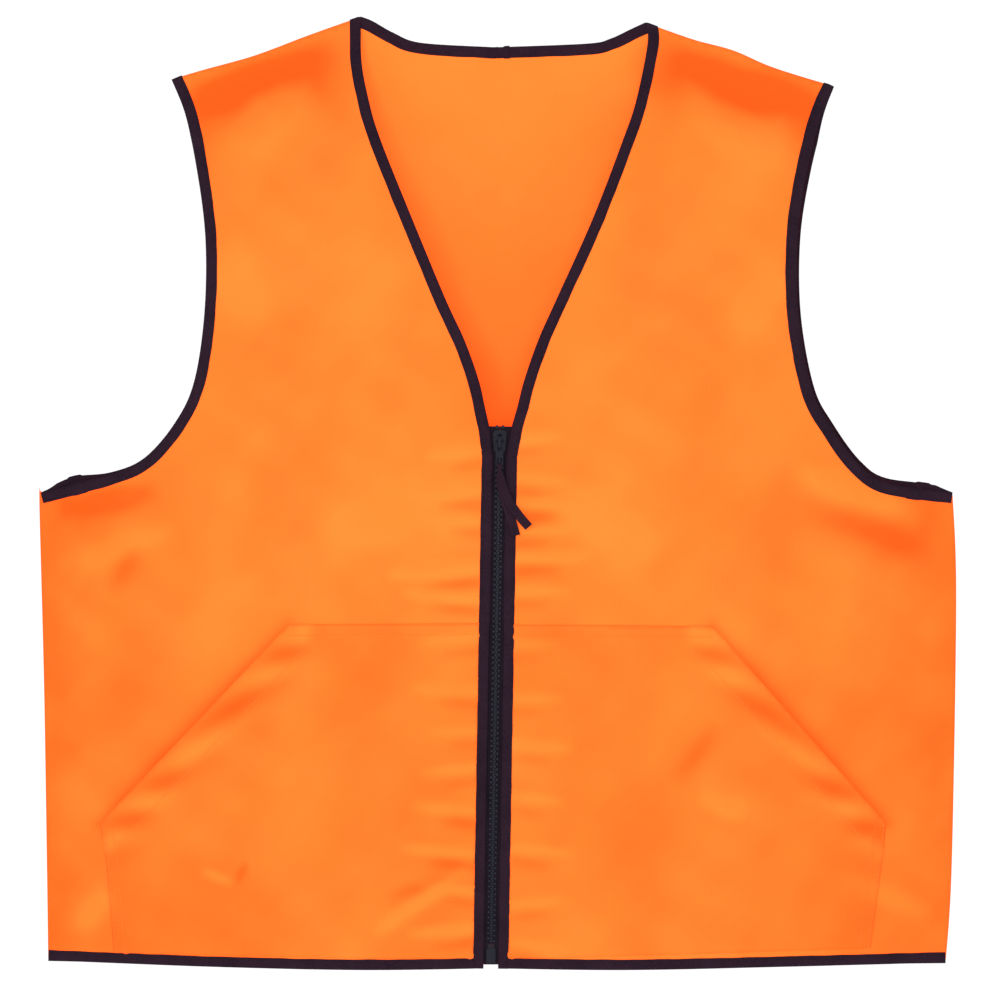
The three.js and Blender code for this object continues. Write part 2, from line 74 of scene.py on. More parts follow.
# The edges of each half in millimetres, from the neck outwards, as the CAD part cuts them
HALVES = {
    "right": dict(
        sign=-1,
        neck_tip=[(92.5, 20)],
        v_neck=[
            (92, -10), (87, -37), (79, -64), (57.4, -118), (35, -172), (22.5, -199),
            (12.8, -226), (8.4, -245), (5.2, -260),
        ],
        back_neck=[(84.4, 16.9), (70, 9), (52, 2.6)],
        shoulder=[(128, 7.4), (164, -6.1), (200, -16.2)],
        shoulder_tip=[(220, -22.3)],
        armhole=[
            (210, -47), (202.5, -83), (196.5, -130), (197, -180), (204, -227), (217, -255),
            (238, -279), (262, -290),
        ],
        underarm=[(309, -302.4)],
        side=[(309.8, -311), (306.5, -442)],
        hem_corner=[(303.8, -619)],
        pocket=[(140.4, -391), (268.7, -525.8), (264.6, -548.8), (259, -612)],
    ),
    "left": dict(
        sign=1,
        neck_tip=[(100.8, 16)],
        v_neck=[
            (102.4, 2), (94.5, -37), (85.5, -64), (64.8, -118), (40.5, -172), (28.4, -199),
            (18.9, -226), (14, -245), (9.8, -260),
        ],
        back_neck=[(91.5, 11.8), (77, 5.2), (62, 2)],
        shoulder=[(133, 4.7), (160, -2.7), (187, -14.2)],
        shoulder_tip=[(228, -27)],
        armhole=[
            (218.5, -48.6), (209, -86), (202.5, -130), (203, -182), (212, -231.5), (225, -257),
            (244, -283), (264, -296),
        ],
        underarm=[(308.5, -302.4)],
        side=[(311, -375), (308, -553)],
        hem_corner=[(303.8, -620.5)],
        pocket=[(145.5, -392), (263.3, -525.8), (261.2, -546.8), (252.5, -608)],
    ),
}


# ---------- plane curves ----------


def spline(points, step=1.5 * MM):
    """A smooth curve through the points, sampled evenly. Catmull-Rom, as in the CAD part."""
    p = np.array([tuple(q) for q in points], float)
    p = np.vstack([p[:1], p, p[-1:]])
    t = np.linspace(0, 1, 24, endpoint=False)[:, None]
    runs = []
    for a, b, c, d in zip(p, p[1:], p[2:], p[3:]):
        runs.append(
            0.5 * (2 * b + (c - a) * t + (2 * a - 5 * b + 4 * c - d) * t**2 + (3 * b - a - 3 * c + d) * t**3)
        )
    return resample(np.vstack(runs + [p[-1:]]), step)


def resample(points, step):
    """The polyline with evenly spaced points, ends kept."""
    points = np.asarray(points, float)
    lengths = np.linalg.norm(np.diff(points, axis=0), axis=1)
    at = np.concatenate([[0], np.cumsum(lengths)])
    count = max(2, int(round(at[-1] / step)) + 1)
    wanted = np.linspace(0, at[-1], count)
    return np.stack([np.interp(wanted, at, points[:, k]) for k in range(points.shape[1])], axis=1)


def arc_length(points):
    return np.concatenate([[0], np.cumsum(np.linalg.norm(np.diff(points, axis=0), axis=1))])


def inward(points, towards):
    """The unit normals of a plane polyline, on the side of the cloth."""
    along = np.gradient(points, axis=0)
    along /= np.linalg.norm(along, axis=1)[:, None] + 1e-12
    return towards * np.stack([-along[:, 1], along[:, 0]], axis=1)


def beside_zip(across, z):
    return np.array([ZIP_TOP.x + (z - ZIP_TOP.y) * math.tan(ZIP_TILT) + across, z])


def edges_of(half):
    s = half["sign"]
    mm = {k: [(s * x * MM, z * MM) for x, z in v] for k, v in half.items() if k != "sign"}
    foot = beside_zip(s * HALF_GAP, HEM_Z)
    head = beside_zip(s * HALF_GAP, NECK_FOOT_Z)
    return dict(
        zip=resample([foot, head], 1.5 * MM),
        v_neck=spline([head, *reversed(mm["v_neck"]), *mm["neck_tip"]]),
        back_neck=spline([*mm["neck_tip"], *mm["back_neck"], (s * NECK_LEVEL, 0), (0, 0)]),
        shoulder=spline([*mm["neck_tip"], *mm["shoulder"], *mm["shoulder_tip"]]),
        armhole=spline([*mm["shoulder_tip"], *mm["armhole"], *mm["underarm"]]),
        side=spline([*mm["underarm"], *mm["side"], *mm["hem_corner"]]),
        hem=resample([*mm["hem_corner"], foot], 1.5 * MM),
        pocket=mm["pocket"],
    )


EDGES = {name: edges_of(half) for name, half in HALVES.items()}


def offset_line(edge, towards, distance):
    """The edge moved across itself, by one distance or by one for each of its points."""
    return edge + inward(edge, towards) * np.reshape(distance, (-1, 1))


# How far the back armhole shows past the front one: everywhere, and in a rise before the underarm
BACK_ARM = {"right": dict(all=0.7 * MM, rise=4.2 * MM), "left": dict(all=3.0 * MM, rise=1.0 * MM)}


def back_armhole(name):
    edge = EDGES[name]["armhole"]
    at = arc_length(edge)
    ends = np.clip(at / (40 * MM), 0, 1) * np.clip((at[-1] - at) / (12 * MM), 0, 1)
    rise = np.exp(-(((at[-1] - at - 24 * MM) / (17 * MM)) ** 2))
    out = BACK_ARM[name]["all"] * ends + BACK_ARM[name]["rise"] * rise * ends
    return offset_line(edge, HALVES[name]["sign"], out)


for _name, _edges in EDGES.items():
    _edges["back_armhole"] = back_armhole(_name)


# ---------- the filled-out skins ----------


def fullness(x, z):
    across = np.clip((np.abs(x) - FLAT_X) / (SEAM_X - FLAT_X), 0, 1)
    below = np.clip((SHOULDER_RISE - SHOULDER_SLOPE * np.abs(x) - SHOULDER_FLAT - z) / SHOULDER_ROUND, 0, 1)
    return np.cos(math.pi / 2 * across) * np.sin(math.pi / 2 * below)


def skin_y(side, x, z, height):
    """Y of a point at a height over the inside of the cloth. side is -1 at the front and 1 at the back."""
    depth = FRONT_DEPTH if side < 0 else BACK_DEPTH
    return side * (SKIN_GAP + depth * fullness(x, z) + height)


def waves(x, z, seed, size, octaves=3):
    """Smooth random relief between about -1 and 1, with bumps about that size."""
    r = np.random.default_rng(seed)
    total = np.zeros_like(x)
    weight = 0
    for octave in range(octaves):
        scale = 2**octave / size
        for _ in range(5):
            angle, phase = r.uniform(0, math.pi), r.uniform(0, 2 * math.pi)
            stretch = r.uniform(0.7, 1.3)
            across = x * math.cos(angle) + z * math.sin(angle)
            total += 0.6**octave * np.sin(2 * math.pi * scale * stretch * across + phase)
        weight += 0.6**octave * 5**0.5
    return total / weight / 1.4


def fold(x, z, start, end, width, height):
    """A soft ridge from start to end in millimetres, fading at both ends. A negative height is a crease."""
    a, b = np.array(start) * MM, np.array(end) * MM
    along = (b - a) / np.linalg.norm(b - a)
    length = np.linalg.norm(b - a)
    u = (x - a[0]) * along[0] + (z - a[1]) * along[1]
    v = -(x - a[0]) * along[1] + (z - a[1]) * along[0]
    fade = np.clip(u / length, 0, 1) * np.clip(1 - u / length, 0, 1) * 4
    return height * MM * np.exp(-((v / (width * MM)) ** 2)) * fade


# Folds in the cloth: start, end, half width and height in millimetres
FRONT_FOLDS = [
    ((-215, -40), (-105, 2), 14, -1.6),  # under the shoulders
    ((215, -44), (112, -6), 14, -1.6),
    ((-200, -75), (-120, -30), 20, 1.0),
    ((205, -80), (125, -35), 20, 1.0),
    ((-300, -316), (-225, -300), 8, -1.4),  # under the arms
    ((-285, -350), (-215, -325), 9, 1.1),
    ((-262, -372), (-240, -330), 8, -0.9),
    ((195, -285), (290, -318), 9, 1.3),
    ((205, -310), (300, -345), 10, -1.1),
    ((-195, -140), (-150, -190), 16, 0.8),
    ((200, -150), (150, -200), 16, 0.8),
    ((-15, -552), (-85, -600), 5, 1.4),  # drag lines on the pockets
    ((-20, -560), (-75, -575), 5, -0.9),
    ((135, -505), (170, -520), 6, 1.0),
    ((150, -455), (120, -500), 7, -0.8),
    ((-285, -600), (-262, -570), 7, 1.0),
    ((-201, -556), (-176, -566), 4, 1.0),
    ((-176, -566), (-168, -550), 3, -0.8),
    ((230, -560), (300, -590), 9, 0.8),
    ((-40, -300), (-120, -340), 18, 0.8),
    ((40, -300), (110, -350), 18, 0.8),
]

# Puckers where the cloth is gathered onto the zip: height, length across, half width, rise, in millimetres
ZIP_PUCKERS = {
    -1: [
        (-272, 26, 4, 0.9), (-300, 34, 4.5, 1.1), (-322, 26, 4, 0.8), (-352, 46, 5, 1.6),
        (-374, 40, 4.5, 1.3), (-398, 30, 4, 0.7), (-436, 34, 4.5, 0.9), (-462, 26, 4, 0.6),
        (-486, 30, 4, 0.8), (-518, 34, 4.5, 1.0), (-546, 40, 4.5, 1.2), (-572, 30, 4, 0.8),
        (-594, 36, 4.5, 1.1),
    ],
    1: [
        (-268, 24, 4, 0.8), (-290, 28, 4, 0.8), (-310, 36, 4.5, 1.3), (-328, 30, 4, 0.9),
        (-346, 38, 4.5, 1.3), (-368, 28, 4, 0.8), (-404, 22, 4, 0.5), (-440, 26, 4, 0.6),
        (-470, 30, 4, 0.8), (-505, 26, 4, 0.6), (-540, 30, 4, 0.8), (-580, 28, 4, 0.7),
        (-604, 26, 4, 0.6),
    ],
}


def front_relief(x, z):
    """Height of the folds over the smooth front."""
    total = 0.75 * MM * waves(x, z, 3, 150 * MM) + 0.2 * MM * waves(x, z, 5, 42 * MM)
    for start, end, width, height in FRONT_FOLDS:
        total += fold(x, z, start, end, width, 1.5 * height)
    for side, puckers in ZIP_PUCKERS.items():
        for height, reach, width, rise in puckers:
            lean = 6 * math.sin(height * 0.7)
            outer = side * (16 + 1.3 * reach)
            total += fold(x, z, (side * 2, height), (outer, height + lean), width, 1.5 * rise)
            total -= fold(x, z, (side * 2, height - 9), (0.7 * outer, height - 9 + lean), width, rise)
    return total * edge_fade(x, z)


def back_relief(x, z):
    total = 0.9 * MM * waves(x, z, 11, 170 * MM) + 0.25 * MM * waves(x, z, 13, 45 * MM)
    for side in (-1, 1):
        total += fold(x, z, (side * 215, -45), (side * 105, 0), 16, -1.6)
        total += fold(x, z, (side * 290, -330), (side * 200, -300), 11, 1.4)
        total += fold(x, z, (side * 280, -360), (side * 150, -420), 18, 1.2)
    total += fold(x, z, (-60, -40), (-20, -240), 22, 1.0)
    total += fold(x, z, (50, -60), (30, -300), 24, 0.9)
    return total * edge_fade(x, z)


def edge_fade(x, z):
    """Cloth is held flat at the side seams and at the shoulder line."""
    side = np.clip((SEAM_X + 8 * MM - np.abs(x)) / (14 * MM), 0, 1)
    top = np.clip((SHOULDER_RISE - SHOULDER_SLOPE * np.abs(x) - z) / (12 * MM), 0, 1)
    return side * top


RELIEF = {-1: front_relief, 1: back_relief}


# The band of painted shade below the shoulders: its middle below the shoulder line, and its reach
SHOULDER_SHADE_BAND, SHOULDER_SHADE_REACH = 30 * MM, 26 * MM


def painted_shade(side, x, z):
    """Painted shade, 0 to 1: below the shoulder line, towards the side seams and in the valleys of folds,
    with painted light on their crests.

    The base of 0.22 is plain cloth."""
    across = np.clip((np.abs(x) - FLAT_X) / (SEAM_X - FLAT_X), 0, 1)
    below = SHOULDER_RISE - SHOULDER_SLOPE * np.abs(x) - z
    band = np.exp(-(((below - SHOULDER_SHADE_BAND) / SHOULDER_SHADE_REACH) ** 2))
    shoulder = band * ramp(np.abs(x) - 80 * MM, 45 * MM)
    # painted shade below the shoulders and towards the side seams, made uneven at random
    layers = 0.65 * shoulder + 0.5 * across**4
    relief = RELIEF[side](x, z)
    # painted shade in the valleys of the folds, painted light on their crests
    valley_shade = np.clip(-relief / (1.5 * MM), -0.6, 1)
    return layers * (0.85 + 0.3 * waves(x, z, 21, 70 * MM)) + 0.5 * valley_shade + 0.22


# ---------- meshes ----------


def new_mesh(name, verts, faces, smooth=True):
    mesh = bpy.data.meshes.new(name)
    mesh.from_pydata([tuple(v) for v in verts], [], [tuple(f) for f in faces])
    mesh.validate()
    mesh.update()
    obj = bpy.data.objects.new(name, mesh)
    bpy.context.scene.collection.objects.link(obj)
    if smooth:
        mesh.shade_smooth()
    return obj


def inside(points, outline):
    """Which points lie inside a closed plane outline."""
    x, z = points[:, 0], points[:, 1]
    result = np.zeros(len(points), bool)
    for (x0, z0), (x1, z1) in zip(outline, np.roll(outline, -1, axis=0)):
        crosses = (z0 > z) != (z1 > z)
        with np.errstate(divide="ignore", invalid="ignore"):
            at = x0 + (z - z0) * (x1 - x0) / (z1 - z0)
        result ^= crosses & (x < at)
    return result


def nearest(points, polyline):
    """Each point's distance to a plane polyline, and the arc length where it is nearest."""
    at = arc_length(polyline)
    best = np.full(len(points), 1e9)
    where = np.zeros(len(points))
    for first in range(0, len(points), 4000):
        some = slice(first, first + 4000)
        closest = np.argmin(((points[some, None, :] - polyline[None, :, :]) ** 2).sum(2), axis=1)
        for step in (-1, 0):
            i = np.clip(closest + step, 0, len(polyline) - 2)
            a, d = polyline[i], polyline[i + 1] - polyline[i]
            t = np.clip(((points[some] - a) * d).sum(1) / ((d * d).sum(1) + 1e-15), 0, 1)
            gap = np.linalg.norm(points[some] - (a + t[:, None] * d), axis=1)
            closer = gap < best[some]
            best[some] = np.where(closer, gap, best[some])
            where[some] = np.where(closer, at[i] + t * (at[i + 1] - at[i]), where[some])
    return best, where


def distance_to(points, polyline):
    """Distance of each point to a plane polyline."""
    return nearest(points, resample(polyline, 2 * MM))[0]


def fill_outline(outline, spacing):
    """Evenly spaced plane triangles inside a closed outline."""
    outline = np.asarray(outline)
    low, high = outline.min(0), outline.max(0)
    row = spacing * math.sqrt(3) / 2
    grid = [
        (x + (spacing / 2 if j % 2 else 0), z)
        for j, z in enumerate(np.arange(low[1], high[1], row))
        for x in np.arange(low[0], high[0], spacing)
    ]
    grid = np.array(grid)
    grid = grid[inside(grid, outline)]
    closed = np.vstack([outline, outline[:1]])
    grid = grid[distance_to(grid, closed) > 0.55 * spacing]
    points = [Vector(p) for p in np.vstack([outline, grid])]
    count = len(outline)
    rim = [(i, (i + 1) % count) for i in range(count)]
    made = geometry.delaunay_2d_cdt(points, rim, [list(range(count))], 1, 1e-7)
    return np.array([tuple(p) for p in made[0]]), [list(f) for f in made[2]]


def joined(*runs, step):
    """One closed outline through the runs, evenly spaced along each."""
    parts = [resample(run, step)[:-1] for run in runs]
    return np.vstack(parts)


def cloth_panel(name, outline, side, height_at, spacing, extra_painted_shade_at):
    """A panel of cloth on one skin, as a closed sheet of its own thickness.

    The last argument adds painted shade where it is positive and painted light where it is negative."""
    flat, faces = fill_outline(outline, spacing)
    x, z = flat[:, 0], flat[:, 1]
    y = skin_y(side, x, z, height_at(x, z))
    obj = new_mesh(name, np.stack([x, y, z], axis=1), faces)
    # Painted shade at each point, which the cloth material reads.
    shade = obj.data.attributes.new("painted_shade", "FLOAT", "POINT")
    depth = np.clip(painted_shade(side, x, z) + extra_painted_shade_at(x, z), 0, 1)
    shade.data.foreach_set("value", depth.astype(np.float32))
    face_towards(obj, side)
    solid = obj.modifiers.new("thickness", "SOLIDIFY")
    solid.thickness = CLOTH
    solid.offset = 0
    return obj


def tube_faces(rings, count):
    """Faces of a closed tube of so many rings, each of count points, with its two end caps."""
    faces = []
    for i in range(rings - 1):
        for k in range(count):
            n = (k + 1) % count
            faces.append((i * count + k, (i + 1) * count + k, (i + 1) * count + n, i * count + n))
    faces.append(tuple(range(count)))
    faces.append(tuple(reversed(range((rings - 1) * count, rings * count))))
    return faces


def face_towards(obj, side):
    """Turns the mesh's faces so that they face out of the garment."""
    total = sum(p.normal.y * p.area for p in obj.data.polygons)
    if total * side < 0:
        obj.data.flip_normals()


def recalculate_normals(obj):
    bm = bmesh.new()
    bm.from_mesh(obj.data)
    bmesh.ops.recalc_face_normals(bm, faces=bm.faces)
    bm.to_mesh(obj.data)
    bm.free()


def merged(name, objs):
    """One object from several."""
    for o in bpy.context.selected_objects:
        o.select_set(False)
    for o in objs:
        o.select_set(True)
    bpy.context.view_layer.objects.active = objs[0]
    bpy.ops.object.join()
    objs[0].name = name
    objs[0].data.name = name
    return objs[0]


# ---------- materials ----------


def shader(name, roughness, metallic=0.0, sheen=0.0, specular=0.5):
    """A material with its Principled node, with the plain values set on the node itself."""
    mat = bpy.data.materials.new(name)
    mat.use_nodes = True
    node = mat.node_tree.nodes["Principled BSDF"]
    node.inputs["Roughness"].default_value = roughness
    node.inputs["Metallic"].default_value = metallic
    node.inputs["Sheen Weight"].default_value = sheen
    node.inputs["Specular IOR Level"].default_value = specular
    return mat, mat.node_tree, node


def add_node(tree, kind, **values):
    node = tree.nodes.new(kind)
    for key, value in values.items():
        if key in node.inputs:
            node.inputs[key].default_value = value
        else:
            setattr(node, key, value)
    return node


def object_coordinates(tree):
    return add_node(tree, "ShaderNodeTexCoord").outputs["Object"]


def noise_of(tree, place, scale, detail=3.0):
    node = add_node(tree, "ShaderNodeTexNoise", Scale=scale, Detail=detail)
    tree.links.new(place, node.inputs["Vector"])
    return node.outputs["Fac"]


def ribs_of(tree, place, direction, period, distortion=0.4):
    """Parallel ribs, period metres apart. A wave texture turns 20 radians per unit of its scale."""
    node = add_node(
        tree, "ShaderNodeTexWave", Scale=2 * math.pi / (20 * period), Distortion=distortion,
        bands_direction=direction,
    )
    node.inputs["Detail"].default_value = 1.0
    node.inputs["Detail Scale"].default_value = 1.0
    tree.links.new(place, node.inputs["Vector"])
    return node.outputs["Fac"]


def combined(tree, operation, a, b):
    node = add_node(tree, "ShaderNodeMath", operation=operation)
    tree.links.new(a, node.inputs[0])
    if isinstance(b, float):
        node.inputs[1].default_value = b
    else:
        tree.links.new(b, node.inputs[1])
    return node.outputs[0]


def colour_ramp(tree, factor, stops):
    node = add_node(tree, "ShaderNodeValToRGB")
    ramp = node.color_ramp
    while len(ramp.elements) < len(stops):
        ramp.elements.new(0.5)
    for element, (position, colour) in zip(ramp.elements, stops):
        element.position = position
        element.color = (*colour, 1)
    tree.links.new(factor, node.inputs["Fac"])
    return node.outputs["Color"]


def bump(tree, principled, height, distance, strength=1.0):
    node = add_node(tree, "ShaderNodeBump", Strength=strength, Distance=distance)
    tree.links.new(height, node.inputs["Height"])
    tree.links.new(node.outputs["Normal"], principled.inputs["Normal"])


def cloth_material(name, light, dark, painted_shade_colour, painted_glow, painted_glow_strength, wale=0.9 * MM):
    """Knitted polyester: fine wales and courses, uneven dye, a matt nap, and a painted glow, an emission
    that stands in for its fluorescence.

    The painted shade stored on the mesh leads from the light tone to the colour of full painted shade."""
    mat, tree, node = shader(name, roughness=0.88, sheen=0.08, specular=0.2)
    place = object_coordinates(tree)
    wales = ribs_of(tree, place, "X", wale)
    courses = ribs_of(tree, place, "Z", 0.75 * wale)
    knit = combined(tree, "MULTIPLY", wales, courses)
    fuzz = noise_of(tree, place, 1400, 2.0)
    cast = noise_of(tree, place, 22, 4.0)
    fine, coarse = combined(tree, "MULTIPLY", knit, 0.35), combined(tree, "MULTIPLY", cast, 0.65)
    shade = combined(tree, "ADD", fine, coarse)
    single = colour_ramp(tree, shade, [(0.25, dark), (0.65, light)])
    # Painted shade: mixes the cloth's colour towards the colour of full painted shade.
    layers = add_node(tree, "ShaderNodeAttribute", attribute_name="painted_shade").outputs["Fac"]
    tree.links.new(mixed(tree, layers, single, painted_shade_colour), node.inputs["Base Color"])
    node.inputs["Sheen Roughness"].default_value = 0.5
    node.inputs["Sheen Tint"].default_value = (*light, 1)
    # Painted glow: the cloth emits orange light of its own, standing in for its fluorescence.
    node.inputs["Emission Color"].default_value = (*painted_glow, 1)
    node.inputs["Emission Strength"].default_value = painted_glow_strength
    relief = combined(tree, "ADD", knit, combined(tree, "MULTIPLY", fuzz, 0.6))
    bump(tree, node, relief, 0.12 * MM, 0.6)
    return mat


def mixed(tree, factor, colour, other):
    """From a colour output towards a plain colour."""
    node = add_node(tree, "ShaderNodeMix", data_type="RGBA")
    tree.links.new(factor, node.inputs["Factor"])
    tree.links.new(colour, node.inputs["A"])
    node.inputs["B"].default_value = (*other, 1)
    return node.outputs["Result"]


def tape_material(name, light, dark):
    """Ribbed knitted tape, with pale lint caught in its nap."""
    mat, tree, node = shader(name, roughness=0.85, sheen=0.03, specular=0.12)
    place = object_coordinates(tree)
    upright, level = (ribs_of(tree, place, direction, 1.1 * MM) for direction in "XZ")
    ribs = combined(tree, "MAXIMUM", upright, level)
    fuzz = noise_of(tree, place, 900, 3.0)
    cast = noise_of(tree, place, 60, 3.0)
    fine, coarse = combined(tree, "MULTIPLY", fuzz, 0.6), combined(tree, "MULTIPLY", cast, 0.4)
    shade = combined(tree, "ADD", fine, coarse)
    colour = colour_ramp(tree, shade, [(0.3, dark), (0.72, light)])
    tree.links.new(colour, node.inputs["Base Color"])
    node.inputs["Sheen Roughness"].default_value = 0.4
    node.inputs["Sheen Tint"].default_value = (0.5, 0.42, 0.6, 1)
    bump(tree, node, combined(tree, "ADD", ribs, fuzz), 0.15 * MM, 0.7)
    return mat


def plastic_material(name, colour, roughness):
    """Moulded plastic with a fine grain and a slight mottle."""
    mat, tree, node = shader(name, roughness=roughness, specular=0.07)
    place = object_coordinates(tree)
    mottle = noise_of(tree, place, 400, 3.0)
    pale = tuple(min(1, c * 1.3 + 0.004) for c in colour)
    tree.links.new(colour_ramp(tree, mottle, [(0.3, colour), (0.8, pale)]), node.inputs["Base Color"])
    bump(tree, node, noise_of(tree, place, 2500, 2.0), 0.03 * MM, 0.5)
    return mat


def enamel_material(name, colour, metal):
    """Dark enamel on die-cast metal, rubbed through in small patches scattered at random."""
    mat, tree, node = shader(name, roughness=0.42, metallic=0.05, specular=0.08)
    place = object_coordinates(tree)
    rub = noise_of(tree, place, 700, 5.0)
    tone = colour_ramp(tree, rub, [(0.3, colour), (0.62, colour), (0.78, metal)])
    tree.links.new(tone, node.inputs["Base Color"])
    bump(tree, node, noise_of(tree, place, 1800, 2.0), 0.03 * MM, 0.4)
    return mat


# The deep tone is the colour of full painted shade.
ORANGE = cloth_material(
    "orange_cloth", light=(1.0, 0.19, 0.026), dark=(0.97, 0.165, 0.018), painted_shade_colour=(0.95, 0.055, 0.0),
    # The glow is a painted glow that stands in for the cloth's fluorescence.
    painted_glow=(1.0, 0.16, 0.012), painted_glow_strength=0.32,
)
ORANGE_THREAD = tape_material("orange_thread", (1.0, 0.27, 0.05), (0.9, 0.17, 0.015))
BINDING = tape_material("binding_tape", (0.025, 0.010, 0.020), (0.010, 0.003, 0.009))
DARK_THREAD = tape_material("dark_thread", (0.02, 0.011, 0.02), (0.009, 0.005, 0.01))
ZIP_TAPE = tape_material("zip_tape", (0.015, 0.008, 0.015), (0.006, 0.003, 0.007))
TEETH = plastic_material("moulded_teeth", (0.005, 0.005, 0.011), 0.38)
ENAMEL = enamel_material("slider_enamel", (0.003, 0.003, 0.009), (0.04, 0.04, 0.06))


def finish_piece(obj, material, body="garment"):
    """Gives a piece its material and its body."""
    obj.data.materials.clear()
    obj.data.materials.append(material)
    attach(obj, body)
    return obj


# ---------- cloth near its sewn edges ----------


def seam_puckers(x, z, edges, seed, height=0.35 * MM, inset=BINDING_WIDTH):
    """Small gathers that a sewn edge draws into the cloth, with a soft ridge beside the seam.

    The cloth lies flat up to the inset, where a binding covers it."""
    points = np.stack([x, z], axis=1)
    total = np.zeros(len(points))
    for k, edge in enumerate(edges):
        reach, along = nearest(points, resample(edge, 6 * MM))
        away = np.maximum(0, reach - inset)
        wobble = np.sin(along / (23 * MM) + seed + k) + 0.6 * np.sin(along / (9 * MM) + 2.3 * seed + k)
        gathers = np.sin(along / (2.3 * MM) + 2.4 * wobble)
        patches = 0.6 + 0.4 * np.sin(along / (31 * MM) + k)
        fade = np.exp(-away / (7 * MM)) * ramp(reach - inset + 0.5 * MM, 2 * MM)
        total += height * gathers * patches * fade
        total += 0.4 * MM * np.exp(-(((away - 1.8 * MM) / (1.6 * MM)) ** 2)) * (away > 0)
    return total


def ramp(distance, length):
    """Smoothly from 0 to 1 over the length."""
    t = np.clip(distance / length, 0, 1)
    return t * t * (3 - 2 * t)


def front_height(half_name):
    edges = EDGES[half_name]

    def height(x, z):
        bound = [edges["zip"], edges["v_neck"], edges["armhole"], edges["hem"]]
        return CLOTH_HEIGHT + front_relief(x, z) + seam_puckers(x, z, bound, HALVES[half_name]["sign"] + 3)

    return height


def back_height(x, z):
    bound = [EDGES["right"]["back_armhole"], EDGES["left"]["back_armhole"], back_hem(), back_neck_line()]
    return CLOTH_HEIGHT + back_relief(x, z) + seam_puckers(x, z, bound, 9)


def hem_line(name):
    """The front hem from the side seam to the zip, hanging slightly lower in the middle."""
    s = HALVES[name]["sign"]
    hem = EDGES[name]["hem"]
    return spline([hem[0], (s * 190 * MM, HEM_Z + 0.2 * MM), (s * 90 * MM, HEM_Z - 1.2 * MM), hem[-1]])


for _name in EDGES:
    EDGES[_name]["hem"] = hem_line(_name)


def back_hem():
    right, left = EDGES["right"]["hem"][0], EDGES["left"]["hem"][0]
    return spline([right, (-150 * MM, HEM_Z), (150 * MM, HEM_Z), left])


def back_neck_line():
    """From the wearer's right neck tip to the left one."""
    return np.vstack([EDGES["right"]["back_neck"], EDGES["left"]["back_neck"][-2::-1]])


# ---------- panels ----------


UNDER_TAPE = 1.2 * MM  # from the fold of a binding to the cut edge of the cloth inside it


def front_panel(name):
    e = EDGES[name]
    inner = -HALVES[name]["sign"]
    bound = {key: offset_line(e[key], inner, UNDER_TAPE) for key in ("zip", "v_neck", "armhole", "hem")}
    outline = joined(
        bound["zip"], bound["v_neck"], e["shoulder"][1:], bound["armhole"], e["side"][1:], bound["hem"],
        step=3.2 * MM,
    )
    mouth = pocket_lines(name)["mouth"]

    # Painted shadow on the front along the pocket's mouth.
    def mouth_shadow(x, z):
        return 0.4 * np.exp(-((distance_to(np.stack([x, z], axis=1), mouth) / (5 * MM)) ** 1.5))

    obj = cloth_panel("cloth_front_" + name, outline, -1, front_height(name), 3.2 * MM, mouth_shadow)
    finish_piece(obj, ORANGE)
    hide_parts("front_panel_" + name)
    return obj


def back_panel():
    r, l = EDGES["right"], EDGES["left"]
    arm = {
        name: offset_line(edges["back_armhole"], -HALVES[name]["sign"], UNDER_TAPE)
        for name, edges in EDGES.items()
    }
    neck = offset_line(back_neck_line(), -1, UNDER_TAPE)
    outline = joined(
        neck, l["shoulder"][1:], arm["left"], l["side"][1:], offset_line(back_hem(), 1, UNDER_TAPE)[::-1],
        r["side"][:0:-1], arm["right"][::-1], r["shoulder"][:0:-1],
        step=4 * MM,
    )
    # The whole back is painted lighter: painted light against the shade inside the neck opening.
    obj = cloth_panel("cloth_back", outline, 1, back_height, 4 * MM, lambda x, z: -0.3)
    finish_piece(obj, ORANGE)
    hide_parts("back_panel")
    return obj


# ---------- pockets ----------

POCKET_FULLNESS = 4.5 * MM
POCKET_RAMP = 60 * MM
FACING = 21 * MM  # width of the hem folded in along the slanted mouth
ROW_GAP = 6 * MM  # between the two rows of a double seam


def pocket_lines(name):
    s = HALVES[name]["sign"]
    corner, mouth_end, knee, foot = (np.array(p) for p in EDGES[name]["pocket"])
    under = s * (HALF_GAP + BINDING_WIDTH - 0.8 * MM)
    hem_top = HEM_Z + BINDING_WIDTH - 0.8 * MM
    zip_foot = beside_zip(under, hem_top)
    zip_head = beside_zip(under, corner[1] + 1 * MM)
    return dict(
        top=np.array([zip_head, corner]),
        mouth=spline([corner, 0.5 * (corner + mouth_end) + np.array([-s * 1.0, 0.6]) * MM, mouth_end]),
        side=np.array([mouth_end, knee, foot + np.array([0, -2 * MM])]),
        hem=np.array([foot + np.array([0, -2 * MM]), zip_foot]),
        zip=np.array([zip_foot, zip_head]),
    )


def mouth_ripples(mouth, along):
    """Drag lines across the hem of the pocket's mouth, from distances to and along it."""
    drag = np.sin(along / (8 * MM) + 1.6 * np.sin(along / (27 * MM)) + mouth / (6 * MM))
    return 0.6 * MM * drag * np.exp(-(((mouth - 0.6 * FACING) / (0.5 * FACING)) ** 2))


